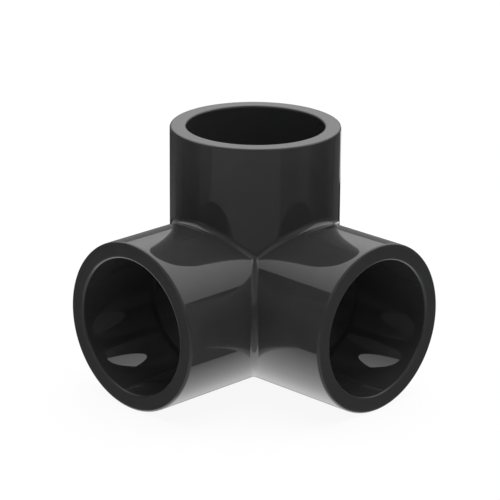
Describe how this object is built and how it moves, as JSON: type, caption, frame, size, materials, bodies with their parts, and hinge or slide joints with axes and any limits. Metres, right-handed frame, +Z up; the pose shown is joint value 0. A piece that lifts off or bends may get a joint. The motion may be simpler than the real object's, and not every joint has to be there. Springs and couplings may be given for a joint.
{
  "type": "three-way elbow fitting",
  "caption": "Black moulded corner elbow for pipe frames: equal round sockets meet at right angles in a hollow, round-backed corner.",
  "frame": {"origin": "centre of the bottom of the part's box: the fitting stands on z = 0 on its two level arms. The three socket axes cross at (-10.485, 10.485, 20.93) mm", "axes": "+X out of the right socket, -Y out of the front socket, +Z up and out of the top socket"},
  "size_m": [0.0628, 0.0628, 0.0628],
  "materials": {
    "elbow_body": "glossy black rigid PVC, injection moulded"
  },
  "bodies": {
    "root": {"elbow_body": "elbow_body"}
  },
  "joints": []
}
